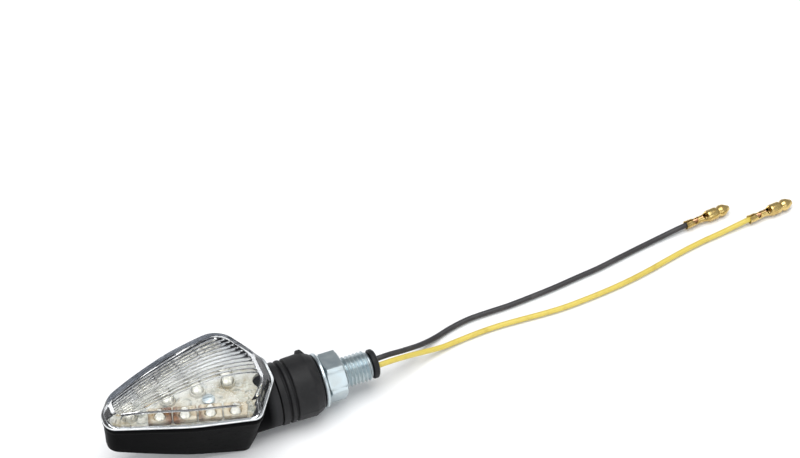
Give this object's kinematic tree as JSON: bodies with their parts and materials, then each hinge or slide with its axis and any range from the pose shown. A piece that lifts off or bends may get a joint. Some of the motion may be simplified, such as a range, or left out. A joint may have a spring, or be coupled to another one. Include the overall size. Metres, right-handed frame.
{
  "type": "turn signal indicator",
  "caption": "Motorcycle turn signal: pointed clear lens over a black housing, flexible rubber stem, hollow threaded stud with nut and spring washer, two wires with bullet terminals.",
  "frame": {"origin": "bottom centre of the box round the indicator without its free wires", "axes": "+X along the stem from the lens's tip towards the wires, +Z out of the lens, lying on its back"},
  "size_m": [0.2464, 0.0427, 0.032],
  "materials": {
    "housing_plastic": "moulded black plastic, satin",
    "clear_lens": "clear polycarbonate, polished, fluted inside",
    "weld_seal": "welded seam, translucent white",
    "reflector": "cream white reflector plate",
    "circuit_board": "printed circuit board with light solder mask",
    "led_epoxy": "water-clear epoxy with an amber tint",
    "resistor": "tan lacquer",
    "diode": "black epoxy",
    "stem_rubber": "moulded black rubber",
    "zinc_plate": "bright zinc plating with a faint blue passivation",
    "brass_terminal": "plain stamped brass",
    "black_wire": "PVC insulation, black",
    "yellow_wire": "PVC insulation, yellow"
  },
  "bodies": {
    "base": {"rubber_stem": "stem_rubber", "threaded_stud": "zinc_plate", "end_grommet": "stem_rubber", "black_lead_inner": "black_wire", "yellow_lead_inner": "yellow_wire", "black_wire": "black_wire", "yellow_wire": "yellow_wire", "black_terminal": "brass_terminal", "yellow_terminal": "brass_terminal"},
    "head": {"housing": "housing_plastic", "lens": "clear_lens", "lens_seal": "weld_seal", "reflector": "reflector", "led_board": "circuit_board", "led_01": "led_epoxy", "led_02": "led_epoxy", "led_03": "led_epoxy", "led_04": "led_epoxy", "led_05": "led_epoxy", "led_06": "led_epoxy", "led_07": "led_epoxy", "led_08": "led_epoxy", "led_09": "led_epoxy", "led_10": "led_epoxy", "led_11": "led_epoxy", "led_12": "led_epoxy", "board_screw": "zinc_plate", "resistor_1": "resistor", "resistor_2": "resistor", "polarity_diode": "diode"},
    "washer": {"lock_washer": "zinc_plate"},
    "nut": {"hex_nut": "zinc_plate"}
  },
  "joints": [
    {"name": "stem_flex", "type": "hinge", "parent": "base", "child": "head", "pos_m": [0.0125, 0, 0.0102], "axis": [0, 1, 0], "range_deg": [-18, 18], "stiffness_Nm_per_rad": 0.5, "deforming": ["rubber_stem", "black_lead_inner", "yellow_lead_inner"]},
    {"name": "nut_travel", "type": "slide", "parent": "base", "child": "washer", "axis": [1, 0, 0], "range_m": [0, 0.00926]},
    {"name": "nut_turn", "type": "hinge", "parent": "washer", "child": "nut", "pos_m": [0.02875, 0, 0.0102], "axis": [1, 0, 0], "range_deg": [0, 2664]}
  ],
  "couplings": [
    {"joint": "nut_travel", "follows": "nut_turn", "m_per_rad": 0.00019894}
  ]
}
